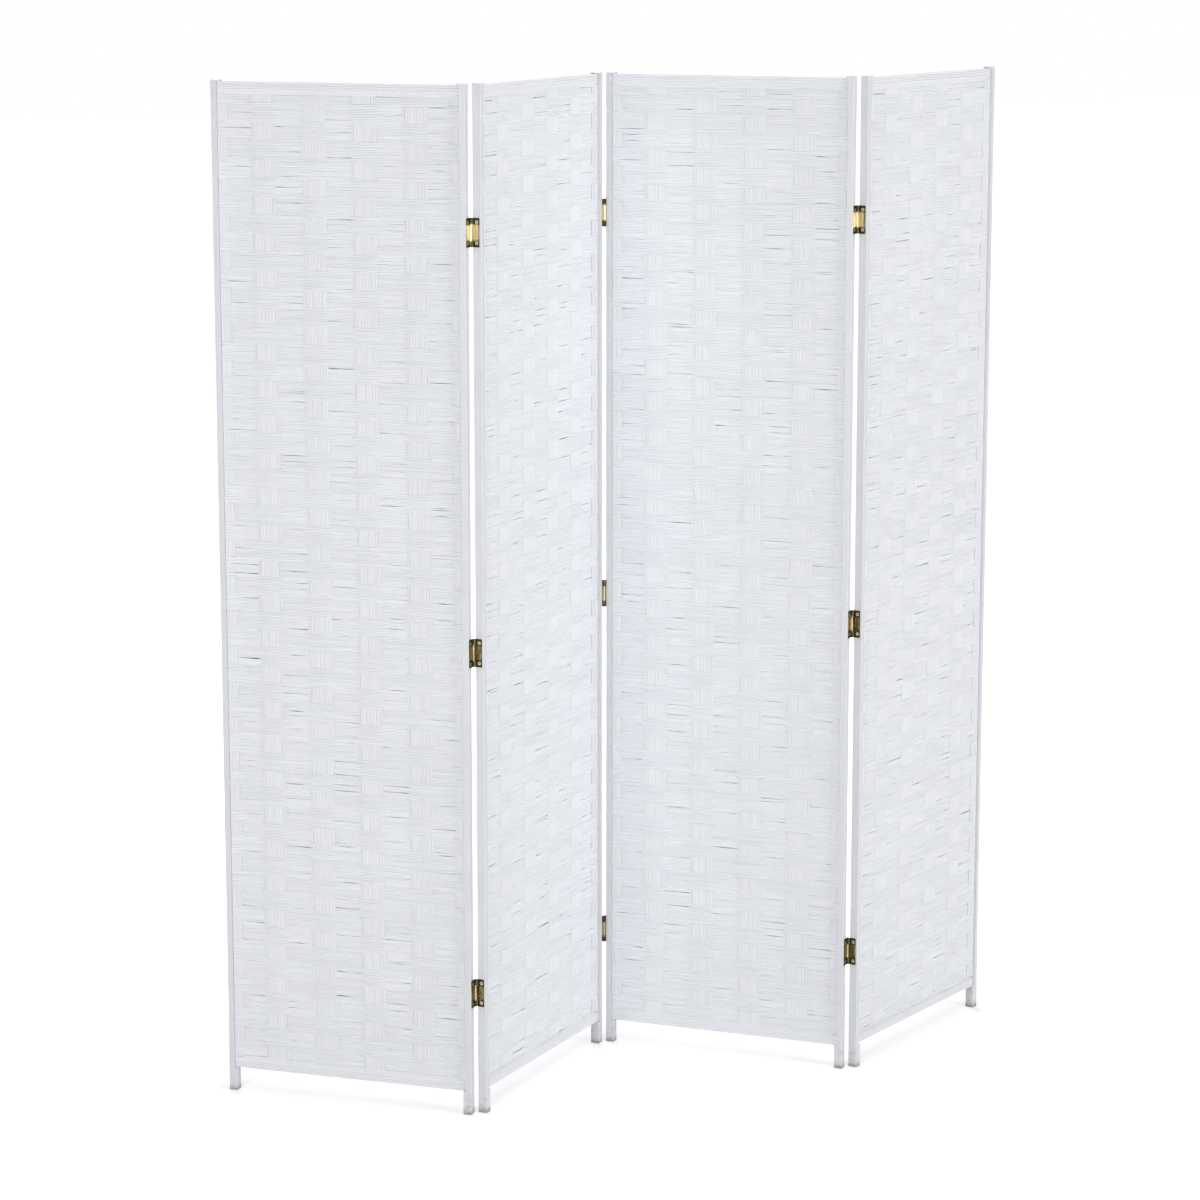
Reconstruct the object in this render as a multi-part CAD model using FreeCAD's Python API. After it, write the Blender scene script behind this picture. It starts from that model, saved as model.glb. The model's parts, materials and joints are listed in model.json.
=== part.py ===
"""Four-panel folding screen: woven paper-fibre panels in slim painted wood frames, on brass butt hinges.

Millimetres and degrees. +Z is up, +X runs along the screen, and the front faces -Y.
The origin lies on the floor, at the centre of the standing screen's outline.

Each panel is drawn in its own frame first: u runs across the panel from its left edge, v runs from
its mid-plane towards its back, and z runs up from the floor. The panels are then hung on each other
through their hinge pins, which lie behind the first and third joints and before the second one,
so that the screen folds up like a fan.
"""
import FreeCAD, Part
import math
import os
from FreeCAD import Placement, Rotation, Vector

os.makedirs("parts", exist_ok=True)

# Panels as they stand, each heading turned from +X about the vertical
panel_headings = (-38.0, 44.0, -41.0, 36.0)
panel_width = 450.0

# Stiles: full depth at their outer rim, and a thinner tongue inside it for the weave
stile_height = 1750.0
stile_width = 15.0
stile_depth = 16.0
stile_rim = 10.0
stile_rounding = 1.2
tongue_thickness = 5.5
top_projection = 3.0
foot_height = 41.0

# Rails, as thick as the tongues, and the dowels that join them to the stiles
rail_height = 12.7
rail_end_gap = 0.1
dowel_radius = 1.6
dowel_in_stile = 9.0
dowel_in_rail = 14.0
dowel_clearance = 0.05
dowel_end_gap = 0.5

# Upright slats that the weave runs round
slat_count = 4
slat_width = 31.0
slat_thickness = 2.5
slat_tenon = 7.0
slat_clearance = 0.15

# Woven rows, and the binding round each rail
weft_thickness = 1.2
weft_end_gap = 0.3
weft_clearance = 0.1
weft_overhang = 1.5
bend_at_stile = 14.0
bend_at_slat = 10.0
row_height = 30.7
row_gap = 0.3
first_row_height = 21.0

# Butt hinges
hinge_height = 48.0
hinge_top_drop = 243.0
hinge_bottom_rise = 213.0
hinge_middle_rise = 804.0
hinge_middle_rise_second = 831.0
leaf_thickness = 1.5
leaf_far_margin = 3.5
middle_knuckle_height = 23.6
knuckle_gap = 0.2
barrel_radius = 2.5
barrel_clearance = 0.3
pin_radius = 1.2
pin_clearance = 0.05
pin_proud = 0.3
pin_edge_offset = 2.0
pin_face_offset = 2.8

# Countersunk screws
screw_end_margin = 6.7
screw_head_radius = 3.0
screw_shank_radius = 1.5
screw_shank_length = 9.0
screw_tip_length = 2.0
screw_clearance = 0.06
recess_length = 3.4
recess_width = 0.7
recess_depth = 0.8

# One overrun serves every cut
overrun = 1.0

full_turn = 360.0

UP = Vector(0, 0, 1)
panel_count = len(panel_headings)

# Heights and depths that follow from the sizes above
weave_bottom = foot_height
weave_top = stile_height - top_projection
tongue_half = tongue_thickness / 2
slat_half = slat_thickness / 2
binding_height = rail_height + weft_clearance + weft_thickness
span_width = (panel_width - 2 * stile_width - slat_count * slat_width) / (slat_count + 1)
pin_depth = stile_depth / 2 + pin_face_offset
screw_rise = hinge_height / 2 - screw_end_margin


def block(u_a, u_b, v_a, v_b, z_a, z_b):
    """A box between two corners, given in any order."""
    corner = Vector(min(u_a, u_b), min(v_a, v_b), min(z_a, z_b))
    return Part.makeBox(abs(u_b - u_a), abs(v_b - v_a), abs(z_b - z_a), corner)


def upright_cylinder(radius, u, v, z_low, z_high):
    return Part.makeCylinder(radius, z_high - z_low, Vector(u, v, z_low), UP)


def slat_left_edges():
    """The left edge of each slat, evenly spread between the stiles."""
    pitch = span_width + slat_width
    return [stile_width + span_width + pitch * i for i in range(slat_count)]


def rail_levels():
    """The low and high face of the bottom rail, then of the top rail."""
    bottom_low = weave_bottom + weft_thickness + weft_clearance
    top_high = weave_top - weft_thickness - weft_clearance
    return [(bottom_low, bottom_low + rail_height), (top_high - rail_height, top_high)]


def hinge_levels(joint):
    """The mid-heights of a joint's three hinges; the second joint's middle one sits higher."""
    middle = hinge_middle_rise_second if joint == 1 else hinge_middle_rise
    return [hinge_bottom_rise, middle, stile_height - hinge_top_drop]


def pin_side(joint):
    """+1 where the joint's pin lies at the panels' back, -1 where it lies at their front."""
    return 1 if joint % 2 == 0 else -1


def panel_edges(panel):
    """The hinged edges of a panel: the joint there, the edge's u, and the way out of it."""
    edges = []
    if panel > 0:
        edges.append((panel - 1, 0.0, -1))
    if panel < panel_count - 1:
        edges.append((panel, panel_width, 1))
    return edges


def screw_profile(edge_u, out, z, grown):
    """A screw's outline turned about its own axis: a countersunk head, a shank and a point.

    It is drawn along the way into the wood, and grown by a clearance it is the hole for the screw.
    """
    head_depth = leaf_thickness
    depths = [0.0, head_depth, head_depth + screw_shank_length]
    tip = depths[2] + screw_tip_length + grown
    radii = [screw_head_radius + grown, screw_shank_radius + grown]
    start = edge_u + out * leaf_thickness
    points = [
        Vector(start, 0, z),
        Vector(start, 0, z + radii[0]),
        Vector(start - out * depths[1], 0, z + radii[1]),
        Vector(start - out * depths[2], 0, z + radii[1]),
        Vector(start - out * tip, 0, z),
    ]
    face = Part.Face(Part.makePolygon(points + points[:1]))
    return face.revolve(Vector(start, 0, z), Vector(1, 0, 0), full_turn)


def make_stile(panel, is_left):
    """A wood post: full depth at its rim, foot and top, and rebated front and back to a tongue."""
    near = 0.0 if is_left else panel_width
    inward = 1 if is_left else -1
    half = stile_depth / 2
    post = block(near, near + inward * stile_width, -half, half, 0.0, stile_height)
    post = post.makeFillet(stile_rounding, post.Edges)
    rim_u = near + inward * stile_rim
    inner_u = near + inward * (stile_width + overrun)
    for side in (-1, 1):
        rebate = block(rim_u, inner_u, side * tongue_half, side * (half + overrun), weave_bottom, weave_top)
        post = post.cut(rebate)
    inner_face = near + inward * stile_width
    for low, high in rail_levels():
        mouth = Vector(inner_face + inward * overrun, 0, (low + high) / 2)
        depth = dowel_in_stile + dowel_end_gap + overrun
        hole = Part.makeCylinder(dowel_radius + dowel_clearance, depth, mouth, Vector(-inward, 0, 0))
        post = post.cut(hole)
    for joint, edge_u, out in panel_edges(panel):
        if edge_u != near:
            continue
        for level in hinge_levels(joint):
            for z in (level - screw_rise, level + screw_rise):
                post = post.cut(screw_profile(edge_u, out, z, screw_clearance))
    return post


def make_rail(index):
    """A rail between the stiles, mortised for the slats' ends and bored for its two dowels."""
    low, high = rail_levels()[index]
    left = stile_width + rail_end_gap
    right = panel_width - stile_width - rail_end_gap
    rail = block(left, right, -tongue_half, tongue_half, low, high)
    mouth_z = high if index == 0 else low
    into = -1 if index == 0 else 1
    half = slat_half + slat_clearance
    for edge in slat_left_edges():
        mortise = block(edge - slat_clearance, edge + slat_width + slat_clearance, -half, half,
                        mouth_z - into * overrun, mouth_z + into * (slat_tenon + slat_clearance))
        rail = rail.cut(mortise)
    for end, inward in ((left, 1), (right, -1)):
        mouth = Vector(end - inward * overrun, 0, (low + high) / 2)
        depth = dowel_in_rail + dowel_end_gap + overrun
        hole = Part.makeCylinder(dowel_radius + dowel_clearance, depth, mouth, Vector(inward, 0, 0))
        rail = rail.cut(hole)
    return rail


def make_dowels():
    """Four round dowels, one at each end of each rail."""
    dowels = []
    length = dowel_in_stile + rail_end_gap + dowel_in_rail
    for low, high in rail_levels():
        for inner_face, inward in ((stile_width, 1), (panel_width - stile_width, -1)):
            start = Vector(inner_face - inward * dowel_in_stile, 0, (low + high) / 2)
            dowels.append(Part.makeCylinder(dowel_radius, length, start, Vector(inward, 0, 0)))
    return Part.makeCompound(dowels)


def make_slats():
    """Four flat upright laths, tenoned into the rails."""
    bottom, top = rail_levels()
    low = bottom[1] - slat_tenon
    high = top[0] + slat_tenon
    slats = [block(edge, edge + slat_width, -slat_half, slat_half, low, high) for edge in slat_left_edges()]
    return Part.makeCompound(slats)


def row_path(first_side):
    """A row's centre line across the panel, passing before and behind the uprights by turns.

    The row bends close to each upright, and lies in the panel's mid-plane between two of them.
    first_side is the side of the left stile that the row passes: -1 before it, +1 behind it.
    """
    at_stile = tongue_half + weft_clearance + weft_thickness / 2
    at_slat = slat_half + weft_clearance + weft_thickness / 2
    end = stile_rim + weft_end_gap
    reach = stile_width + weft_overhang
    path = [(end, first_side * at_stile), (reach, first_side * at_stile), (reach + bend_at_stile, 0.0)]
    side = first_side
    for edge in slat_left_edges():
        side = -side
        near = edge - weft_overhang
        far = edge + slat_width + weft_overhang
        path.append((near - bend_at_slat, 0.0))
        path.append((near, side * at_slat))
        path.append((far, side * at_slat))
        path.append((far + bend_at_slat, 0.0))
    side = -side
    path.append((panel_width - reach - bend_at_stile, 0.0))
    path.append((panel_width - reach, side * at_stile))
    path.append((panel_width - end, side * at_stile))
    return path


def make_row(first_side, low, high):
    """One woven row as a flat band of fibre that bends from front to back."""
    half = weft_thickness / 2
    path = row_path(first_side)
    front = [Vector(u, v - half, low) for u, v in path]
    back = [Vector(u, v + half, low) for u, v in reversed(path)]
    outline = front + back
    face = Part.Face(Part.makePolygon(outline + outline[:1]))
    return face.extrude(Vector(0, 0, high - low))


def make_binding(index):
    """The flat wrap of fibre round a rail: before it, behind it and over its outer edge."""
    inner = tongue_half + weft_clearance
    outer = inner + weft_thickness
    end = stile_rim + weft_end_gap
    web = stile_width + weft_end_gap
    edge_z = weave_bottom if index == 0 else weave_top
    into = 1 if index == 0 else -1
    binding = block(web, panel_width - web, -outer, outer, edge_z, edge_z + into * weft_thickness)
    for side in (-1, 1):
        wall = block(end, panel_width - end, side * inner, side * outer, edge_z, edge_z + into * binding_height)
        binding = binding.fuse(wall)
    return binding.removeSplitter()


def make_weave():
    """All the woven rows of a panel, from the top binding down to the bottom one."""
    rows_high = weave_top - binding_height
    rows_low = weave_bottom + binding_height
    full_rows = max(1, round((rows_high - first_row_height - rows_low) / row_height))
    pitch = (rows_high - first_row_height - rows_low) / full_rows
    levels = [rows_high] + [rows_high - first_row_height - pitch * i for i in range(full_rows + 1)]
    rows = []
    for i in range(len(levels) - 1):
        first_side = -1 if i % 2 == 0 else 1
        rows.append(make_row(first_side, levels[i + 1] + row_gap / 2, levels[i] - row_gap / 2))
    return Part.makeCompound(rows)


def knuckle_zones(is_outer):
    """The heights of a leaf's own knuckles about the hinge's middle, and of its partner's."""
    inner_half = middle_knuckle_height / 2
    outer_start = inner_half + knuckle_gap
    middle = [(-inner_half, inner_half)]
    ends = [(-hinge_height / 2, -outer_start), (outer_start, hinge_height / 2)]
    return (ends, middle) if is_outer else (middle, ends)


def make_leaf(joint, level, edge_u, out):
    """One hinge leaf: a plate on the stile's edge with its knuckles round the pin.

    The leaf on the left panel has the two outer knuckles, and the one on the right the middle one.
    """
    side = pin_side(joint)
    pin_u = edge_u + out * pin_edge_offset
    pin_v = side * pin_depth
    far_v = side * (leaf_far_margin - stile_depth / 2)
    low = level - hinge_height / 2
    high = level + hinge_height / 2
    leaf = block(edge_u, edge_u + out * leaf_thickness, pin_v, far_v, low, high)
    own, partner = knuckle_zones(out > 0)
    for z_low, z_high in own:
        leaf = leaf.fuse(upright_cylinder(barrel_radius, pin_u, pin_v, level + z_low, level + z_high))
    cleared = barrel_radius + barrel_clearance
    for z_low, z_high in partner:
        clear_low = level + z_low - (knuckle_gap if z_low > -hinge_height / 2 else overrun)
        clear_high = level + z_high + (knuckle_gap if z_high < hinge_height / 2 else overrun)
        leaf = leaf.cut(upright_cylinder(cleared, pin_u, pin_v, clear_low, clear_high))
    bore = upright_cylinder(pin_radius + pin_clearance, pin_u, pin_v, low - overrun, high + overrun)
    leaf = leaf.cut(bore)
    for z in (level - screw_rise, level + screw_rise):
        leaf = leaf.cut(screw_profile(edge_u, out, z, screw_clearance))
    return leaf.removeSplitter()


def make_pins(joint):
    """The three hinge pins of a joint, drawn on the left panel, with chamfered proud ends."""
    pins = []
    pin_u = panel_width + pin_edge_offset
    pin_v = pin_side(joint) * pin_depth
    for level in hinge_levels(joint):
        low = level - hinge_height / 2 - pin_proud
        high = level + hinge_height / 2 + pin_proud
        pin = upright_cylinder(pin_radius, pin_u, pin_v, low, high)
        rims = [edge for edge in pin.Edges if len(edge.Vertexes) == 1]
        pins.append(pin.makeChamfer(pin_proud, rims))
    return Part.makeCompound(pins)


def make_screws(joint, edge_u, out):
    """The six screws that hold a joint's leaves to one stile, each with a cross recess."""
    screws = []
    face_u = edge_u + out * leaf_thickness
    for level in hinge_levels(joint):
        for z in (level - screw_rise, level + screw_rise):
            screw = screw_profile(edge_u, out, z, 0.0)
            long_half = recess_length / 2
            thin_half = recess_width / 2
            floor_u = face_u - out * recess_depth
            mouth_u = face_u + out * overrun
            screw = screw.cut(block(floor_u, mouth_u, -long_half, long_half, z - thin_half, z + thin_half))
            screw = screw.cut(block(floor_u, mouth_u, -thin_half, thin_half, z - long_half, z + long_half))
            screws.append(screw)
    return Part.makeCompound(screws)


def turned(heading, u, v):
    """A panel's own direction (u, v) in the screen's plan."""
    angle = math.radians(heading)
    return Vector(u * math.cos(angle) - v * math.sin(angle), u * math.sin(angle) + v * math.cos(angle), 0)


def hang_panels():
    """Hang each panel on the one before it, pin on pin; returns their corners and the joints' pins."""
    corners = [Vector(0, 0, 0)]
    pins = []
    for joint in range(panel_count - 1):
        depth = pin_side(joint) * pin_depth
        pin = corners[joint] + turned(panel_headings[joint], panel_width + pin_edge_offset, depth)
        corner = pin - turned(panel_headings[joint + 1], -pin_edge_offset, depth)
        pins.append(pin)
        corners.append(corner)
    return corners, pins


def centred(shapes, corners, pins):
    """Move the plan so that the origin is the centre of the stiles' outline."""
    box = FreeCAD.BoundBox()
    for panel, shape in shapes:
        standing = shape.copy()
        standing.Placement = Placement(corners[panel], Rotation(UP, panel_headings[panel]))
        box.add(standing.optimalBoundingBox(False, False))
    shift = Vector(box.Center.x, box.Center.y, 0)
    return [corner - shift for corner in corners], [pin - shift for pin in pins]


def panel_nodes(panel):
    """The frame and weave of one panel, by node name, in the panel's own frame."""
    name = f"panel_{panel + 1}"
    return {
        f"{name}_left_stile": make_stile(panel, True),
        f"{name}_right_stile": make_stile(panel, False),
        f"{name}_bottom_rail": make_rail(0),
        f"{name}_top_rail": make_rail(1),
        f"{name}_rail_dowels": make_dowels(),
        f"{name}_slats": make_slats(),
        f"{name}_bindings": Part.makeCompound([make_binding(0), make_binding(1)]),
        f"{name}_weave": make_weave(),
    }


def hinge_nodes(panel):
    """The hinge leaves, screws and pins that one panel carries, by node name."""
    nodes = {}
    places = ("bottom", "middle", "top")
    for joint, edge_u, out in panel_edges(panel):
        pair = f"hinge_{joint + 1}{joint + 2}"
        hand = "left" if out > 0 else "right"
        for place, level in zip(places, hinge_levels(joint)):
            nodes[f"{pair}_{place}_{hand}_leaf"] = make_leaf(joint, level, edge_u, out)
        nodes[f"{pair}_{hand}_screws"] = make_screws(joint, edge_u, out)
        if out > 0:
            nodes[f"{pair}_pins"] = make_pins(joint)
    return nodes


def main():
    corners, pins = hang_panels()
    nodes = []
    for panel in range(panel_count):
        drawn = panel_nodes(panel)
        drawn.update(hinge_nodes(panel))
        nodes.extend((panel, node, shape) for node, shape in drawn.items())
    stiles = [(panel, shape) for panel, node, shape in nodes if node.endswith("_stile")]
    corners, pins = centred(stiles, corners, pins)
    for panel, node, shape in nodes:
        shape.Placement = Placement(corners[panel], Rotation(UP, panel_headings[panel]))
        shape.exportStep(f"parts/{node}.step")
        valid = all(solid.isValid() for solid in shape.Solids)
        print(f"{node}: {len(shape.Solids)} solids, {shape.Volume:.1f} mm3, valid {valid}")
    for joint, pin in enumerate(pins):
        print(f"pin of joint {joint + 1}{joint + 2}: {pin.x:.4f} {pin.y:.4f}")
    for panel, corner in enumerate(corners):
        for hand, u in (("left", stile_width / 2), ("right", panel_width - stile_width / 2)):
            foot = corner + turned(panel_headings[panel], u, 0)
            print(f"foot of panel {panel + 1} {hand}: {foot.x:.4f} {foot.y:.4f}")


main()
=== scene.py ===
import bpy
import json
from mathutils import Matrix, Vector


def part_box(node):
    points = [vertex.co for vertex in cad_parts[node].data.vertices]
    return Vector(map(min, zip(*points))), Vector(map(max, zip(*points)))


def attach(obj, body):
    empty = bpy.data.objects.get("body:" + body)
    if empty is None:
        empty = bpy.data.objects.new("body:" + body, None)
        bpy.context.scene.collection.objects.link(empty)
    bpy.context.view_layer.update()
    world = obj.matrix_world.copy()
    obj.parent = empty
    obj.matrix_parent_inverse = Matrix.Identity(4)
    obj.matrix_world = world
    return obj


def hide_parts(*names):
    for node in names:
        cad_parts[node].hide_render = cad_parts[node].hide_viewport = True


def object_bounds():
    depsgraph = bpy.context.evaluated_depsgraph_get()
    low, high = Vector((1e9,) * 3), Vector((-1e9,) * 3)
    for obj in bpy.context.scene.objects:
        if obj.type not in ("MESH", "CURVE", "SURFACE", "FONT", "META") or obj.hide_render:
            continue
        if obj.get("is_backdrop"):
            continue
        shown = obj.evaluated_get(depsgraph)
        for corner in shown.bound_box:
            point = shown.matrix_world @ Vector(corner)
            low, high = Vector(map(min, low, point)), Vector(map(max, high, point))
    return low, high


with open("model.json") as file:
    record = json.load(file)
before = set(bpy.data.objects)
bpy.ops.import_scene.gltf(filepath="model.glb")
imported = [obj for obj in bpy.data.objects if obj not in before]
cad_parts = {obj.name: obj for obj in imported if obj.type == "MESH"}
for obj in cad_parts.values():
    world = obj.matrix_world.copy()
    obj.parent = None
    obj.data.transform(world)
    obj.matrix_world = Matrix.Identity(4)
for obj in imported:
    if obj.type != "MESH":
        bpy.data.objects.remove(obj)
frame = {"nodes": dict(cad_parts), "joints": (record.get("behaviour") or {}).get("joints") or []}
cad_low, cad_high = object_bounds()

# %% [markdown]
# # A woven folding screen
#
# The real object is a room divider of four panels. Each panel has two slim wood stiles painted white,
# four flat upright slats, and rows of twisted paper cord that pass before one upright and behind the next.
# Brass butt hinges join the panels, so that the screen stands in a zigzag and folds up flat.
#
# The solids already give the stiles, rails and hinges their true shapes, so these stay and only get a finish.
# The woven rows are plain bands there. Here each band becomes a dozen separate cords, because the fine
# broken lines between the cords are what makes the surface look woven.

# %% Modules and units
import json
import math
import random
from bisect import bisect_left

import bmesh
import bpy
from mathutils import Matrix, Vector, noise

MM = 0.001
print("one millimetre is", MM, "metres")

# %% [markdown]
# ## Where each panel stands
#
# Every panel is easiest to draw lying in its own frame: u runs across it, v runs from its middle towards its
# back, and z runs up. One matrix per panel then carries finished work to its place. The hinge pins are known
# from the joints, so the matrices come from them, and the new pieces meet the solids with no fitting by eye.

# %% Panel frames
headings = {"panel_1": -38.0, "panel_2": 44.0, "panel_3": -41.0, "panel_4": 36.0}
panel_width, stile_height, stile_width = 450.0, 1750.0, 15.0
pin_edge_offset, pin_depth = 2.0, 10.8

pins = {joint["name"]: Vector(joint["pos_m"]) / MM for joint in frame["joints"]}
# Each panel hangs on one pin: which pin, at which u, and on which side of the panel.
hangs_on = {
    "panel_1": ("fold_12", panel_width + pin_edge_offset, pin_depth),
    "panel_2": ("fold_12", -pin_edge_offset, pin_depth),
    "panel_3": ("fold_23", -pin_edge_offset, -pin_depth),
    "panel_4": ("fold_34", -pin_edge_offset, pin_depth),
}


def panel_matrix(panel):
    """Carries a panel's own millimetres to metres in the screen's frame."""
    joint, u, v = hangs_on[panel]
    turn = Matrix.Rotation(math.radians(headings[panel]), 4, "Z")
    pin = Vector((pins[joint].x, pins[joint].y, 0))
    corner = pin - turn @ Vector((u, v, 0))
    return Matrix.Scale(MM, 4) @ Matrix.Translation(corner) @ turn


for panel in headings:
    low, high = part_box(f"{panel}_left_stile")
    middle = panel_matrix(panel) @ Vector((stile_width / 2, 0, stile_height / 2))
    print(panel, "is out of place by", round(((low + high) / 2 - middle).length / MM, 2), "mm")

# %% [markdown]
# ## Shader sums
#
# A finish is a sum of small effects. Blender builds such sums from nodes, and a node graph is hard to read
# as text. The class below wraps one socket, so that `1 - mask * 0.3` adds the Math nodes by itself. Any other
# node comes from its one method, which takes the node's type, its settings and its sockets.


# %% A socket that can be used in sums
class Wire:
    """One socket of a node tree. Sums of wires and numbers add Math nodes."""

    def __init__(self, tree, socket=None):
        self.tree = tree
        self.socket = socket

    def node(self, kind, settings=None, inputs=None, output=0):
        """Adds a node: first its settings, then the values or links of its sockets."""
        made = self.tree.nodes.new(kind)
        for name, value in (settings or {}).items():
            setattr(made, name, value)
        for name, value in (inputs or {}).items():
            if isinstance(value, Wire):
                self.tree.links.new(value.socket, made.inputs[name])
            else:
                made.inputs[name].default_value = value
        return Wire(self.tree, made.outputs[output])

    def maths(self, operation, first, second=0.0):
        return self.node("ShaderNodeMath", {"operation": operation}, {0: first, 1: second})

    def __add__(self, other):
        return self.maths("ADD", self, other)

    def __sub__(self, other):
        return self.maths("SUBTRACT", self, other)

    def __mul__(self, other):
        return self.maths("MULTIPLY", self, other)

    def __truediv__(self, other):
        return self.maths("DIVIDE", self, other)

    def __pow__(self, other):
        return self.maths("POWER", self, other)

    def __rsub__(self, other):
        return self.maths("SUBTRACT", other, self)

    __radd__ = __add__
    __rmul__ = __mul__

    def between(self, low, high):
        """0 below low, 1 above high, and smooth between them."""
        return self.node("ShaderNodeMapRange", {"interpolation_type": "SMOOTHSTEP"},
                         {"Value": self, "From Min": low, "From Max": high})

    def blend(self, dark, light):
        """A colour that goes from dark to light as this wire goes from 0 to 1."""
        # The Mix node has one set of sockets for each type of data, all with the same names. Those of its
        # colours are found by their numbers.
        factor, first_colour, second_colour, colour_result = 0, 6, 7, 2
        return self.node("ShaderNodeMix", {"data_type": "RGBA", "clamp_factor": True},
                         {factor: self, first_colour: dark, second_colour: light}, colour_result)


def new_material(name, **fixed):
    """A material with a Principled shader and its fixed sockets set, a first wire, and the shader."""
    material = bpy.data.materials.new(name)
    material.use_nodes = True
    shader = material.node_tree.nodes["Principled BSDF"]
    for socket, value in fixed.items():
        shader.inputs[socket.replace("_", " ")].default_value = value
    return material, Wire(material.node_tree), shader


def plug(wire, shader, socket):
    """Links a wire to a socket of the shader."""
    wire.tree.links.new(wire.socket, shader.inputs[socket])


def roughen(start, shader, strength, distance, height):
    """A relief too fine to model: a bump node on the shader's normal."""
    plug(start.node("ShaderNodeBump", {}, {"Strength": strength, "Distance": distance, "Height": height}),
         shader, "Normal")


def object_place(start, scale=(1, 1, 1)):
    """Object coordinates, multiplied by scale."""
    place = start.node("ShaderNodeTexCoord", output="Object")
    return start.node("ShaderNodeMapping", {}, {"Vector": place, "Scale": scale})


def cloud(start, place, scale, detail=2.0):
    """A soft noise from 0 to 1, with this many clouds to the metre."""
    return start.node("ShaderNodeTexNoise", {}, {"Vector": place, "Scale": scale, "Detail": detail})


print("shader sums ready")

# %% [markdown]
# ## Twisted paper cord
#
# The cord is a strip of soft white paper twisted tight. Close up it shows a fine slanting twist and small
# changes of white from cord to cord. Where two cords lie together, their flanks are darkened with painted
# shade. Each cord carries a UV map with its length along it and one turn around it, and a number of its own
# for its tone, so one material serves thousands of cords and still gives each its own white. The cords that
# run up the slats and stiles are made a little whiter than those of the rows.


# %% Cord material
twist_length = 4.5 * MM


def cord_material(name, light, dark, level, flank_shade_depth):
    """Paper cord: level is how white it is on the whole, and the last number how much painted shade darkens
    its flanks.
    """
    material, start, shader = new_material(name, Specular_IOR_Level=0.25)
    uv = start.node("ShaderNodeUVMap", {"uv_map": "along_around"})
    along = start.node("ShaderNodeSeparateXYZ", {}, {0: uv}, "X")
    around = start.node("ShaderNodeSeparateXYZ", {}, {0: uv}, "Y")
    tone = start.node("ShaderNodeAttribute", {"attribute_name": "tone"}, output="Fac") - 0.5
    place = object_place(start)
    patch = cloud(start, place, 9.0, 3.0) - 0.5
    fibre = cloud(start, place, 420.0) - 0.5
    # Painted shade: each cord darkens towards its flanks, where it lies against its neighbours.
    flank_shade = start.maths("ABSOLUTE", start.maths("SINE", around * math.tau)) ** 3
    twist = start.maths("SINE", (along / twist_length + around + tone * 7) * math.tau)
    white = level + tone * 0.09 + patch * 0.15 + fibre * 0.12 + twist * 0.02 - flank_shade * flank_shade_depth
    plug(white.blend(dark, light), shader, "Base Color")
    plug(0.78 + fibre * 0.2, shader, "Roughness")
    roughen(start, shader, 0.35, 0.15 * MM, twist * 0.3 + fibre * 0.7)
    return material


row_cord = cord_material("row_cord", (0.80, 0.812, 0.845, 1), (0.42, 0.43, 0.45, 1), 0.92, 0.06)
upright_cord = cord_material("upright_cord", (0.822, 0.832, 0.864, 1), (0.43, 0.44, 0.46, 1), 0.95, 0.04)
print("cord materials:", row_cord.name, upright_cord.name)

# %% [markdown]
# ## Painted shade inside a row
#
# Where two cords part, the eye should see shade behind them. A thin flat core inside each row is coloured
# dark
# as painted shade: it gives those gaps something dark to show, and keeps daylight from coming through.

# %% Core material
painted_shade_core, start, shader = new_material("painted_shade_core", Specular_IOR_Level=0.1)
speck = cloud(start, object_place(start), 160.0)
# These colours are painted shade for the gaps between cords; the laths of the slats wear them too.
plug(speck.blend((0.16, 0.165, 0.175, 1), (0.30, 0.305, 0.32, 1)), shader, "Base Color")
plug(0.9 - speck * 0.1, shader, "Roughness")
print("core material:", painted_shade_core.name)

# %% [markdown]
# ## A straight cord to copy
#
# A cord is a closed tube of five sides: fine enough for a cord under three millimetres wide, and light
# enough to lay thousands. It starts as a circle, and is extruded from station to station. A station is a
# place where the finished cord may bend: at each edge of an upright, and three times in each span between.
# The weave presses the cords flat, so the finished tubes are more than twice as wide as they are thick. A
# flat strip is made the same way, from a tube of four sides that stands square and is pressed thin.


# %% Cord template
square_reach = 0.707  # how far the sides of a square tube lie from its middle, where its corners are at 1


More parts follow.
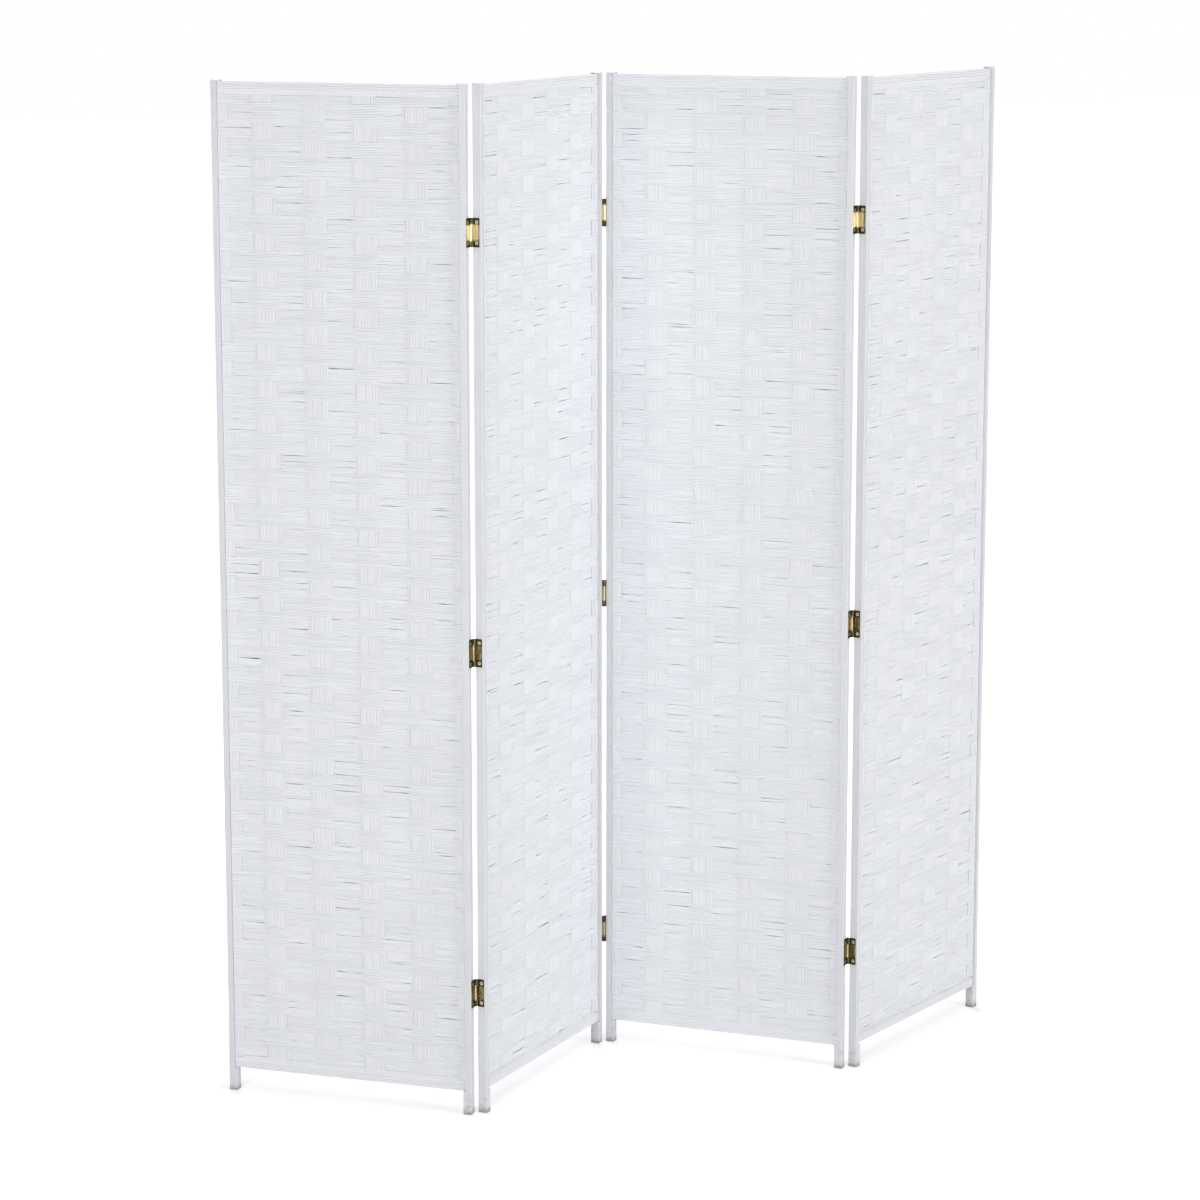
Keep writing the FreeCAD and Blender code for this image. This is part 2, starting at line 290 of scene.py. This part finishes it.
def cord_template(name, stations, sides=5):
    """A straight tube along x, one unit in radius, with a ring at each station and its UV map."""
    bm = bmesh.new()
    facing = Matrix.Translation((stations[0], 0, 0)) @ Matrix.Rotation(math.pi / 2, 4, "Y")
    if sides == 4:
        facing = facing @ Matrix.Rotation(math.pi / 4, 4, "Z")
    ring = bmesh.ops.create_circle(bm, segments=sides, radius=1.0, matrix=facing)["verts"]
    edges = list({edge for vert in ring for edge in vert.link_edges})
    for here, there in zip(stations, stations[1:]):
        made = bmesh.ops.extrude_edge_only(bm, edges=edges)["geom"]
        verts = {item for item in made if isinstance(item, bmesh.types.BMVert)}
        made_edges = [item for item in made if isinstance(item, bmesh.types.BMEdge)]
        edges = [edge for edge in made_edges if verts.issuperset(edge.verts)]
        bmesh.ops.translate(bm, verts=list(verts), vec=(there - here, 0, 0))
    both_ends = [edge for edge in bm.edges if edge.is_boundary]
    bmesh.ops.holes_fill(bm, edges=both_ends, sides=sides)
    bmesh.ops.recalc_face_normals(bm, faces=bm.faces)
    uv = bm.loops.layers.uv.new("along_around")
    bm.faces.layers.float.new("tone")
    for face in bm.faces:
        is_end = abs(face.normal.x) >= 0.9
        face.smooth = not is_end
        if is_end:
            for edge in face.edges:
                edge.smooth = False
        centre = face.calc_center_median()
        middle = math.atan2(centre.z, -centre.y) / math.tau
        for loop in face.loops:
            share = math.atan2(loop.vert.co.z, -loop.vert.co.y) / math.tau
            share += round(middle - share)  # the face that crosses the seam stays in one piece
            loop[uv].uv = (loop.vert.co.x * MM, share)
    mesh = bpy.data.meshes.new(name)
    bm.to_mesh(mesh)
    bm.free()
    return mesh


def lay(bm, template, stations, place, tone, slot=0):
    """Copies the template into bm and moves each of its points by place(station number, y, z)."""
    first_vert, first_face = len(bm.verts), len(bm.faces)
    bm.from_mesh(template)
    bm.verts.ensure_lookup_table()
    bm.faces.ensure_lookup_table()
    layer = bm.faces.layers.float["tone"]
    for vert in bm.verts[first_vert:]:
        vert.co = place(bisect_left(stations, vert.co.x - 0.5), vert.co.y, vert.co.z)
    for face in bm.faces[first_face:]:
        face[layer] = tone
        face.material_index = slot


def noise_at(*place):
    """Smooth noise from -1 to 1, which repeats with each run."""
    return noise.noise(place)


def finish_piece(bm, name, panel, materials, slot, *nodes):
    """Carries the work to its panel's place, makes it an object on its panel's body, and hides the solids'
    nodes it replaces.
    """
    bm.transform(panel_matrix(panel))
    mesh = bpy.data.meshes.new(name)
    bm.to_mesh(mesh)
    bm.free()
    for material in materials:
        mesh.materials.append(material)
    piece = bpy.data.objects.new(name, mesh)
    bpy.context.scene.collection.objects.link(piece)
    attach(piece, panel)
    if nodes:
        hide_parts(*nodes)
    mesh.calc_loop_triangles()
    print(name, len(mesh.loop_triangles), "triangles")


print("cord tools ready")

# %% [markdown]
# ## How a row runs
#
# The sizes are those of the solids: slats 31 mm wide, evenly spread, and rows 30.7 mm high under a first
# row of 21 mm. A row lies flat over each upright and bends close to it. In the span between two uprights all
# rows lie in one plane, and over a slat they are pressed deep, which makes the panel look nearly flat.

# %% Sizes of the weave
stile_rim, tongue_half = 10.0, 2.75
slat_count, slat_width, slat_half = 4, 31.0, 1.25
cord_thick, pressed_in = 0.6, 0.8  # half a cord's thickness, and how far a row sinks into a slat's cords
cord_pitch = 2.56
overhang, rim_gap = 1.5, 0.3
bend_at_stile, bend_at_slat = 14.0, 10.0
weave_bottom, weave_top, binding_height = 41.0, 1747.0, 14.0
first_row, row_count = 21.0, 54

span = (panel_width - 2 * stile_width - slat_count * slat_width) / (slat_count + 1)
slat_edges = [stile_width + span + (span + slat_width) * i for i in range(slat_count)]
row_pitch = (weave_top - weave_bottom - 2 * binding_height - first_row) / row_count
row_tops = [weave_top - binding_height]
row_tops += [weave_top - binding_height - first_row - row_pitch * i for i in range(row_count + 1)]

stile_depth_at = tongue_half + cord_thick
slat_depth_at = slat_half + cord_thick - pressed_in
flats = [(stile_rim + rim_gap, stile_width + overhang, stile_depth_at)]
flats += [(edge - overhang, edge + slat_width + overhang, slat_depth_at) for edge in slat_edges]
flats += [(panel_width - stile_width - overhang, panel_width - stile_rim - rim_gap, stile_depth_at)]
print(len(row_tops) - 1, "rows of", round(row_pitch, 2), "mm, spans of", round(span, 1), "mm")

# %% Stations of a row
# Each station has its u, its depth where the row starts in front, and the number of its span, or none.
row_stations, stations_in_span = [], 3
for number, (start_u, end_u, depth) in enumerate(flats):
    side = -1 if number % 2 == 0 else 1
    row_stations += [(start_u, side * depth, None), (end_u, side * depth, None)]
    if number < len(flats) - 1:
        leave = end_u + (bend_at_stile if number == 0 else bend_at_slat)
        arrive = flats[number + 1][0] - (bend_at_stile if number == len(flats) - 2 else bend_at_slat)
        row_stations += [(u, 0.0, number) for u in (leave, (leave + arrive) / 2, arrive)]
station_u = [station[0] for station in row_stations]
print(len(row_stations), "stations per cord")

# %% [markdown]
# ## Nothing woven by hand is even
#
# In the real weave the cords wander a little, and here and there two of them part and leave a short dark
# dash. A smooth noise bends all the cords of a panel together, a finer one moves each cord, and a seeded
# draw picks where the dashes open. The dashes lie in the spans only, because over a slat the cords are
# pressed flat and close. Most are hairlines: a cube of the draw makes the wide ones rare.


# %% Unevenness
def drift(u, z, seed):
    """How far the whole weave wanders up or down here, in millimetres."""
    return 1.1 * noise_at(u / 190, z / 150, seed)


def open_gaps(draw, cords):
    """Where cords part in one span of one row: pairs of a place between cords and a width in mm."""
    tries, chance = 3, 0.65
    return [(draw.randint(0, cords), 0.3 + 1.3 * draw.random() ** 3)
            for _ in range(tries) if draw.random() < chance]


def parted(number, gaps, lean):
    """How far gaps push this cord up or down. Three cords on each side of a gap move, the nearest most."""
    move, reach = 0.0, 3
    for place, width in gaps:
        apart = number + 0.5 - place
        near = max(0.0, 1 - (abs(apart) - 0.5) / reach)
        move += math.copysign(width / 2 * near, apart) * lean
    return move


strip_thick, strip_half, core_margin = 0.2, 2.4, 0.2


def weave_row(bm, templates, row, seed, draw):
    """One row: a dozen cords round a thin core of painted shade, and a strip behind the line where the row
    above ends.
    """
    top, bottom = row_tops[row], row_tops[row + 1]
    middle = (top + bottom) / 2
    cords = round((top - bottom) / cord_pitch)
    side = 1 if row % 2 == 0 else -1
    gaps = [open_gaps(draw, cords) for _ in range(slat_count + 1)]
    # How wide the gaps of a span are at each of its stations: full at one of them, and less at the others.
    leans = [[draw.uniform(0.0, 0.7) for _ in range(stations_in_span)] for _ in gaps]
    for lean in leans:
        lean[draw.randrange(stations_in_span)] = 1.0
    for number in range(cords):
        thick = cord_thick * draw.uniform(0.92, 1.03)
        flip = draw.choice((-1, 1))  # half of the tubes lie with an edge to the front, half with a face
        share = (number + 0.5) / cords - 0.5
        centres = []
        for i, (u, depth, in_span) in enumerate(row_stations):
            # Near an upright the row spreads over its neighbours, which pass on the other side. The cords
            # overlap a little, and more where they lie loose.
            if in_span is None:
                spread, loose, overlap, flatness = 1.2, 0.06, 1.18, 0.9
            else:
                spread, loose, overlap, flatness = 0.3, 0.17, 1.25, 0.85
            height = top - bottom + spread
            z = middle + share * height + drift(u, middle, seed)
            z += loose * noise_at(u / 30, number * 1.7 + row * 13.1, seed + 5)
            v = side * depth
            if in_span is not None:
                # A flat has two stations, so the stations of a span are numbers 2, 3 and 4 of every five.
                step = (i - 2) % (stations_in_span + 2)
                z += parted(number, gaps[in_span], leans[in_span][step])
                v += 0.1 * noise_at(u / 25, number * 2.3 + row * 9.7, seed + 9)
            centres.append((u, v, z, height / cords / 2 * overlap, thick * flatness))

        def place(i, y, z):
            u, v, level, half, half_thick = centres[i]
            return (u, v + flip * y * half_thick, level + flip * z * half)

        lay(bm, templates[0], station_u, place, draw.random())

    def core(i, y, z):
        u, depth, in_span = row_stations[i]
        half = (top - bottom) / 2 - (0.0 if in_span is None else core_margin)
        return (u, side * depth + y * strip_thick, middle + drift(u, middle, seed) + z * half / square_reach)

    lay(bm, templates[1], station_u, core, 0.5, 1)
    if row == 0:
        return

    def strip(i, y, z):
        u = row_stations[i][0]
        return (u, y * strip_thick, top + drift(u, middle, seed) + z * strip_half / square_reach)

    lay(bm, templates[1], station_u, strip, 0.5)


print("row tools ready")

# %% Weave the rows
row_templates = cord_template("row_template", station_u), cord_template("core_template", station_u, 4)
for number, panel in enumerate(headings):
    draw = random.Random(40 + number)
    bm = bmesh.new()
    for row in range(len(row_tops) - 1):
        weave_row(bm, row_templates, row, 3.7 * number, draw)
    finish_piece(bm, f"{panel}_woven_rows", panel, (row_cord, painted_shade_core), "paper_fibre", f"{panel}_weave")

# %% [markdown]
# ## Cords up the slats and stiles
#
# Each slat is covered front and back by cords laid side by side along it, and they show as smooth upright
# patches wherever a row passes behind. Two more cords lie beside each of its edges and close the corner where
# the rows cross. These cords are long and nearly straight, so a few stations are enough.
#
# The stiles have the same cords on their tongues. A row that passes over them presses them flat, and between
# two such rows they swell, so these cords have two stations for each row.

# %% Cords up a slat
lowest, lath_length, steps = 50.0, 1688.0, 16
heights = [lowest + lath_length * i / steps for i in range(steps + 1)]
lath_ends = [heights[0], heights[-1]]
upright_template = cord_template("upright_template", heights)
lath_template = cord_template("lath_template", lath_ends, 4)

slat_cords, first_in, lath_half = 12, 1.3, 15.2
slat_cord_depth, slat_cord_wide, slat_cord_thick = 0.42, 1.4, 0.3
beside_slat = [(1.2, 1.4, 0.55), (3.8, 1.3, 0.36)]  # how far outside the edge, half width, half thickness


def upright(bm, u, v, wide, thick, draw, seed):
    """One upright cord at (u, v), with half its width and half its thickness."""
    wander = [0.12 * noise_at(z / 120, u * 0.9, seed + v) for z in heights]

    def place(i, y, z):
        return (u + wander[i] - z * wide, v + y * thick, heights[i])

    lay(bm, upright_template, heights, place, draw.random())


def cord_slat(bm, edge, draw, seed):
    """One slat: its lath, twelve cords on each face, and two beside each edge."""
    middle = edge + slat_width / 2
    # The lath wears the painted shade of the row cores, so the slat shows dark between its cords.
    lay(bm, lath_template, lath_ends,
        lambda i, y, z: (middle - z * lath_half / square_reach, y * strip_thick, lath_ends[i]), 0.5, 1)
    for side in (-1, 1):
        for i in range(slat_cords):
            u = edge + first_in + i * (slat_width - 2 * first_in) / (slat_cords - 1)
            upright(bm, u, side * slat_cord_depth, slat_cord_wide, slat_cord_thick, draw, seed)
        near_edge = edge if side < 0 else edge + slat_width
        for outside, wide, thick in beside_slat:
            upright(bm, near_edge + side * outside, 0.0, wide, thick, draw, seed)


print("slat cords", round((slat_width - 2 * first_in) / (slat_cords - 1), 2), "mm apart")

# %% Cords up a stile's tongue
last_row, bend_share = len(row_tops) - 2, 0.2
tongue_heights = []
for row in range(last_row, -1, -1):
    low, high = row_tops[row + 1], row_tops[row]
    tongue_heights += [low + bend_share * (high - low), high - bend_share * (high - low)]
tongue_template = cord_template("tongue_template", tongue_heights)

# Seven cords cover each side of a tongue and of the bend beside it. For each: how far in it lies, how deep
# when it is pressed, and how deep when it is free.
tongue_cords = [(1.2, 2.3, 3.5), (3.5, 2.3, 3.5), (5.8, 1.5, 3.0), (8.1, 1.2, 2.4), (10.4, 0.8, 1.8),
                (12.7, 0.4, 1.2), (15.0, 0.0, 0.7)]
tongue_cord_wide, tongue_cord_thick = 1.25, 0.55


def tongue_cord(bm, hand, side, u, depths, draw):
    """One cord up a stile's tongue: pressed down where a row passes over it, and swelling between."""
    def place(i, y, z):
        row = last_row - i // 2
        pressed = (row % 2 == 0) == ((side < 0) == (hand == 0))
        depth = depths[0 if pressed else 1]
        return (u - z * tongue_cord_wide, side * depth + y * tongue_cord_thick, tongue_heights[i])

    lay(bm, tongue_template, tongue_heights, place, draw.random())


print(len(tongue_heights), "stations per tongue cord")

# %% Lay the upright cords
for number, panel in enumerate(headings):
    draw = random.Random(80 + number)
    bm = bmesh.new()
    for edge in slat_edges:
        cord_slat(bm, edge, draw, number)
    finish_piece(bm, f"{panel}_corded_slats", panel, (upright_cord, painted_shade_core), "inner_wood",
                 f"{panel}_slats")

    bm = bmesh.new()
    for hand in (0, 1):
        for side in (-1, 1):
            for inward, pressed, free in tongue_cords:
                u = stile_rim + rim_gap + inward
                tongue_cord(bm, hand, side, panel_width - u if hand else u, (pressed, free), draw)
    finish_piece(bm, f"{panel}_corded_stiles", panel, (upright_cord,), "paper_fibre")

# %% [markdown]
# ## Bindings
#
# At the top and bottom the paper is wrapped flat round the rail, and its cords run along the edge. Each wall
# of the wrap has eight cords: five lie flat on the rail, and three slope down to the rows. Four more close
# the wrap over the rail's edge. The walls reach the stiles' rims, and the four stop between the stiles.

# %% Binding cords
binding_end, beside_stile, bends = stile_rim + rim_gap, stile_width + rim_gap, 10
web_u = [beside_stile + (panel_width - 2 * beside_stile) * i / bends for i in range(bends + 1)]
binding_u = [binding_end] + web_u + [panel_width - binding_end]
wall_template = cord_template("wall_template", binding_u)
web_template = cord_template("web_template", web_u)

flat_cords, slope_depths = 5, [2.7, 1.7, 0.8]
wall_depths = [stile_depth_at] * flat_cords + slope_depths
wall_first, wall_pitch, slope_closer, wall_half = 1.4, 2.8, 0.5, 1.5
web_cords, web_first, web_pitch = 4, -2.4, 1.6


def bind(bm, top, draw, seed):
    """The wrap of one rail, top or bottom."""
    edge, into = (weave_top, -1) if top else (weave_bottom, 1)
    for side in (-1, 1):
        for i, depth in enumerate(wall_depths):
            level = edge + into * (wall_first + i * wall_pitch - max(0, i + 1 - flat_cords) * slope_closer)
            # The outermost cord runs straight along the rail's edge, and the others wave a little.
            wave = [0.2 * noise_at(u / 60, level, seed + side) * (i > 0) for u in binding_u]
            flip = draw.choice((-1, 1))
            lay(bm, wall_template, binding_u,
                lambda n, y, z: (binding_u[n], side * depth + flip * y * cord_thick,
                                 level + wave[n] + flip * z * wall_half),
                0.5 + 0.5 * draw.random())
    level = edge + into * cord_thick
    for i in range(web_cords):
        across = web_first + web_pitch * i
        lay(bm, web_template, web_u,
            lambda n, y, z: (web_u[n], across - into * z, level + into * y * cord_thick), draw.random())


for number, panel in enumerate(headings):
    draw = random.Random(120 + number)
    bm = bmesh.new()
    bind(bm, True, draw, number)
    bind(bm, False, draw, number + 20)
    finish_piece(bm, f"{panel}_corded_bindings", panel, (upright_cord,), "paper_fibre",
                 f"{panel}_bindings")

# %% [markdown]
# ## Painted wood
#
# The stiles are pine under two coats of satin white. The grain only shows as long shallow ridges in the
# paint. The pattern follows the length of the wood, so the noise is stretched along z. The feet are darkened
# towards the floor, partly as dirt from it and partly as painted shade where they stand on it: all round in
# their last centimetre, and in smudges a little above it. The rails are the same wood with its grain lying
# along them, and the bindings hide nearly all of them.

# %% Paint
stile_paint, start, shader = new_material("stile_paint", Specular_IOR_Level=0.4)
grain = cloud(start, object_place(start, (1, 1, 0.035)), 260.0, 4.0)
mottle = cloud(start, object_place(start), 14.0, 3.0)
height_z = start.node("ShaderNodeSeparateXYZ", {}, {0: object_place(start)}, "Z")
white = 0.9 + (grain - 0.5) * 0.3 + (mottle - 0.5) * 0.3
painted = white.blend((0.44, 0.44, 0.45, 1), (0.645, 0.655, 0.682, 1))
foot_noise = cloud(start, object_place(start), 90.0, 3.0)
# Floor dirt and painted shade together darken the feet: all round at the floor, and in smudges above it.
foot_band_dirt_and_shade = 1 - (height_z + (foot_noise - 0.5) * 0.03).between(0.0, 0.012)
smudge_dirt_and_shade = (1 - height_z.between(0.015, 0.045)) * foot_noise.between(0.48, 0.7)
foot_dirt_and_shade = foot_band_dirt_and_shade * 0.75 + smudge_dirt_and_shade * 0.3
plug(foot_dirt_and_shade.blend(painted, (0.16, 0.16, 0.125, 1)), shader, "Base Color")
plug(0.42 + (mottle - 0.5) * 0.2, shader, "Roughness")
roughen(start, shader, 0.3, 0.3 * MM, grain)

rail_paint, start, shader = new_material("rail_paint", Specular_IOR_Level=0.3)
grain = cloud(start, object_place(start, (0.05, 0.05, 1)), 300.0, 3.0)
plug(grain.blend((0.50, 0.50, 0.51, 1), (0.66, 0.67, 0.69, 1)), shader, "Base Color")
plug(0.7 + (grain - 0.5) * 0.2, shader, "Roughness")


def dress(node, material):
    """Gives a node of the solids one material."""
    node.data.materials.clear()
    node.data.materials.append(material)


for name, node in frame["nodes"].items():
    if name.endswith("_stile"):
        dress(node, stile_paint)
    elif name.endswith(("_rail", "_rail_dowels")):
        dress(node, rail_paint)
print("painted the stiles and rails")

# %% [markdown]
# ## Lacquered brass
#
# The hinges are pressed brass under a thin lacquer. Their leaves are a dark olive brown, partly as tarnished
# brass and partly as painted dark reflection, most of all at the ends round the screws, where dirt and
# painted shade ring each head. The knuckles get a painted highlight, each leaf a paler band of painted
# reflection, and the upper hinges a bright painted glare in the middle. Each screw is a ring of painted
# highlight round a slot that painted shade darkens.
#
# All of this follows the height and three distances: from the hinge's middle, from its pin and from its
# nearest screw. So one material serves every hinge of which it knows how high its middle is. The middle hinge
# of the second joint sits higher than the others, and that joint has its own pair of materials.


# %% Places on a hinge
screw_rise = 17.3
# Leaf colours: pale brass, the dark olive of tarnish and painted dark reflection, and the painted glare of
# the upper hinges.
pale_brass, olive, glare_colour = (0.80, 0.66, 0.38, 1), (0.05, 0.038, 0.012, 1), (0.86, 0.71, 0.42, 1)
# Screw colours: painted shade for the slot and the head's edge, and a ring of painted highlight.
slot_and_edge_shade, ring_highlight = (0.05, 0.04, 0.018, 1), (0.95, 0.90, 0.70, 1)
upper_from, upper_full = 1.3, 1.45  # metres: only the top hinges are above these


def hinge_places(start, levels):
    """The height, and three distances: from a hinge's mid-height, from its pin and from its nearest screw."""
    place = object_place(start)
    z = start.node("ShaderNodeSeparateXYZ", {}, {0: place}, "Z")
    flat = start.node("ShaderNodeVectorMath", {"operation": "MULTIPLY"}, {0: place, 1: (1, 1, 0)})
    away = from_pin = 10.0  # metres, more than any real distance here
    for level in levels:
        away = start.maths("MINIMUM", start.maths("ABSOLUTE", z - level * MM), away)
    for pin in pins.values():
        gap = start.node("ShaderNodeVectorMath", {"operation": "DISTANCE"},
                         {0: flat, 1: (pin.x * MM, pin.y * MM, 0)}, "Value")
        from_pin = start.maths("MINIMUM", gap, from_pin)
    across, along = from_pin - pin_depth * MM, away - screw_rise * MM
    return z, away, from_pin, (across * across + along * along) ** 0.5


print("hinges at", [[round(pin.x, 1), round(pin.y, 1)] for pin in pins.values()])


# %% Brass
def leaf_material(name, levels):
    """Leaves, knuckles and pins of the hinges at these heights."""
    material, start, shader = new_material(name, Metallic=1.0)
    z, away, from_pin, from_screw = hinge_places(start, levels)
    blotch = cloud(start, object_place(start), 220.0, 3.0)
    brushed = cloud(start, object_place(start, (1, 1, 0.06)), 420.0, 2.0)
    # The ends round the screws darken, partly as tarnish and partly as painted dark reflection.
    tarnish_and_dark_reflection = (away + (blotch - 0.5) * 6 * MM).between(10 * MM, 16 * MM)
    # The knuckle gets a painted highlight, and a band down each leaf a paler painted reflection.
    knuckle_highlight = 1 - from_pin.between(2.4 * MM, 3.1 * MM)
    band = from_pin.between(5.5 * MM, 6.5 * MM) * (1 - from_pin.between(9.5 * MM, 11.0 * MM))
    # Dirt and painted shade ring each screw head.
    screw_dirt_and_shade = 1 - from_screw.between(3.2 * MM, 4.6 * MM)
    upper = z.between(upper_from, upper_full)
    shade = 0.12 + knuckle_highlight * 0.36 + band * 0.22 - tarnish_and_dark_reflection * 0.5 - screw_dirt_and_shade * 0.3
    shade = shade - (blotch - 0.5) * 0.5 - (brushed - 0.5) * 0.9
    rim = from_pin.between(12 * MM, 14 * MM)
    # The upper hinges get a painted glare in their middle, fainter towards the leaf's outer edge.
    glare = upper * (1 - tarnish_and_dark_reflection) * (0.7 - (brushed - 0.5) * 2.2) * (1 - rim * 0.6)
    plug(glare.blend(shade.blend(olive, pale_brass), glare_colour), shader, "Base Color")
    plug(1 - glare * 0.5, shader, "Metallic")
    plug(0.14 + tarnish_and_dark_reflection * 0.2 + brushed * 0.14, shader, "Roughness")
    roughen(start, shader, 0.15, 0.05 * MM, brushed)
    return material


def screw_material(name, levels):
    """Screws of the hinges at these heights."""
    material, start, shader = new_material(name, Metallic=1.0)
    from_screw = hinge_places(start, levels)[-1]
    soot = cloud(start, object_place(start), 700.0, 2.0)
    # A ring of painted highlight on each head, between painted shade in its slot and round its edge.
    ring = from_screw.between(1.2 * MM, 1.8 * MM) * (1 - from_screw.between(2.4 * MM, 2.9 * MM))
    ring = ring - (soot - 0.5) * 0.5
    plug(ring.blend(slot_and_edge_shade, ring_highlight), shader, "Base Color")
    plug(1 - ring * 0.5, shader, "Metallic")
    plug(0.2 + soot * 0.15, shader, "Roughness")
    return material


def hinge_finish(place, levels):
    """The brass of the leaves and that of the screws."""
    return leaf_material(f"{place}_hinge_brass", levels), screw_material(f"{place}_screw_brass", levels)


outer_finish, inner_finish = hinge_finish("outer", (213, 804, 1507)), hinge_finish("middle", (213, 831, 1507))
hinge_nodes = [name for name in frame["nodes"] if name.startswith("hinge_")]
for name in hinge_nodes:
    leaf_finish, screw_finish = inner_finish if name.startswith("hinge_23") else outer_finish
    dress(frame["nodes"][name], screw_finish if name.endswith("_screws") else leaf_finish)
print("brass on", len(hinge_nodes), "nodes")

# %% [markdown]
# ## Floor and room
#
# The screen stands on a plain white floor in an even white room. The floor glows for the camera, and for what
# brass mirrors, but sheds no light on the screen. It glows least along the feet of the panels, so that it is
# white farther out and still keeps the screen's faint shadow. The room is lit the same way: white to look
# at, and dimmer as a source of light.

# %% Floor
bm = bmesh.new()
bmesh.ops.create_grid(bm, x_segments=1, y_segments=1, size=30)
floor_mesh = bpy.data.meshes.new("floor")
bm.to_mesh(floor_mesh)
bm.free()
floor = bpy.data.objects.new("floor", floor_mesh)
bpy.context.scene.collection.objects.link(floor)
floor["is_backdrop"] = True
floor_paint, start, shader = new_material("floor_paint", Base_Color=(0.86, 0.86, 0.86, 1), Roughness=0.9,
                                          Specular_IOR_Level=0.0, Emission_Strength=1.0)
near_feet, far_out = (0.01, 0.08), (0.08, 0.5)  # metres from the panels over which the glow grows


def seen_by(start):
    """1 for what the camera sees, also in brass and through glass, and 0 for the light in the room."""
    rays = "Is Camera Ray", "Is Glossy Ray", "Is Transmission Ray"
    return sum(start.node("ShaderNodeLightPath", output=ray) for ray in rays)


def beside(start, place, one, other):
    """The distance from a line between two points."""
    line = other - one
    from_one = start.node("ShaderNodeVectorMath", {"operation": "SUBTRACT"}, {0: place, 1: tuple(one)})
    along = start.node("ShaderNodeVectorMath", {"operation": "DOT_PRODUCT"},
                       {0: from_one, 1: tuple(line / line.length_squared)}, "Value")
    share = start.maths("MINIMUM", start.maths("MAXIMUM", along, 0.0), 1.0)
    nearest = start.node("ShaderNodeVectorMath", {"operation": "SCALE"}, {0: tuple(line), "Scale": share})
    return start.node("ShaderNodeVectorMath", {"operation": "DISTANCE"}, {0: from_one, 1: nearest}, "Value")


floor_place = object_place(start)
away = 10.0
for panel in headings:
    ends = [panel_matrix(panel) @ Vector((u, 0, 0)) for u in (0, panel_width)]
    away = start.maths("MINIMUM", beside(start, floor_place, *ends), away)
glow = seen_by(start) * (0.27 + 0.13 * away.between(*near_feet) + 0.5 * away.between(*far_out))
plug(glow.blend((0, 0, 0, 1), (1, 1, 1, 1)), shader, "Emission Color")
floor_mesh.materials.append(floor_paint)
print("floor laid")

# %% World
world = bpy.data.worlds.new("room")
bpy.context.scene.world = world
world.use_nodes = True
start = Wire(world.node_tree)
background = world.node_tree.nodes["Background"]
background.inputs["Strength"].default_value = 1.0
plug(seen_by(start).blend((0.28, 0.28, 0.285, 1), (1, 1, 1, 1)), background, "Color")
print("world set")

# %% [markdown]
# ## Four soft lamps
#
# The panels face left and right by turns, so one large square lamp on each side lights them, and the balance
# of the two sets how much whiter one pair is than the other. A weak lamp above lightens the floor and the top
# rails, and one behind gives the back its own plain light. The lamps are large, so that no edge casts a hard
# line across the weave.


# %% Lamps
def lamp(name, place, aim, size, power):
    """A square lamp of this size in metres and power in watts, turned towards aim."""
    light = bpy.data.lights.new(name, "AREA")
    light.shape = "SQUARE"
    light.size = size
    light.energy = power
    lamp_object = bpy.data.objects.new(name, light)
    lamp_object.location = place
    lamp_object.rotation_euler = (Vector(aim) - Vector(place)).to_track_quat("-Z", "Y").to_euler()
    bpy.context.scene.collection.objects.link(lamp_object)
    print(name, power, "W")


lamp("left_lamp", (-2.9, -3.1, 1.4), (-0.1, 0, 0.8), 2.4, 83)
lamp("right_lamp", (4.0, -4.6, 1.5), (0, 0, 0.8), 3.0, 190)
lamp("top_lamp", (0, -0.4, 4.8), (0, -0.2, 0), 3.4, 70)
lamp("back_lamp", (0.5, 4.5, 2.6), (0, 0, 0.8), 2.4, 95)

# %% [markdown]
# ## Camera
#
# A long lens from six metres away and a little above the screen keeps its uprights nearly parallel. Its place
# and turn come from fitting the corners of the panels to their places in the picture.

# %% Camera
camera_data = bpy.data.cameras.new("camera")
camera = bpy.data.objects.new("camera", camera_data)
bpy.context.scene.collection.objects.link(camera)
camera.location = (-2.185, -5.856, 2.029)
turn_right, look_down = 19.82, 10.73
camera.rotation_euler = (math.radians(90 - look_down), 0, math.radians(-turn_right))
camera_data.sensor_width = 36.0
camera_data.lens = 109.52
camera_data.clip_end = 100
bpy.context.scene.camera = camera
bpy.context.scene.view_settings.view_transform = "Standard"
print("camera at", tuple(camera.location))

# %% [markdown]
# ## The two boxes
#
# The script prints the box of the solids and that of the dressed screen. Paper may stand a little proud of
# the solids.

# %% Print both boxes
low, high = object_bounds()
{"cad": [list(cad_low), list(cad_high)], "visual": [list(low), list(high)]}
print("cad box", tuple(cad_low), tuple(cad_high))
print("visual box", tuple(low), tuple(high))
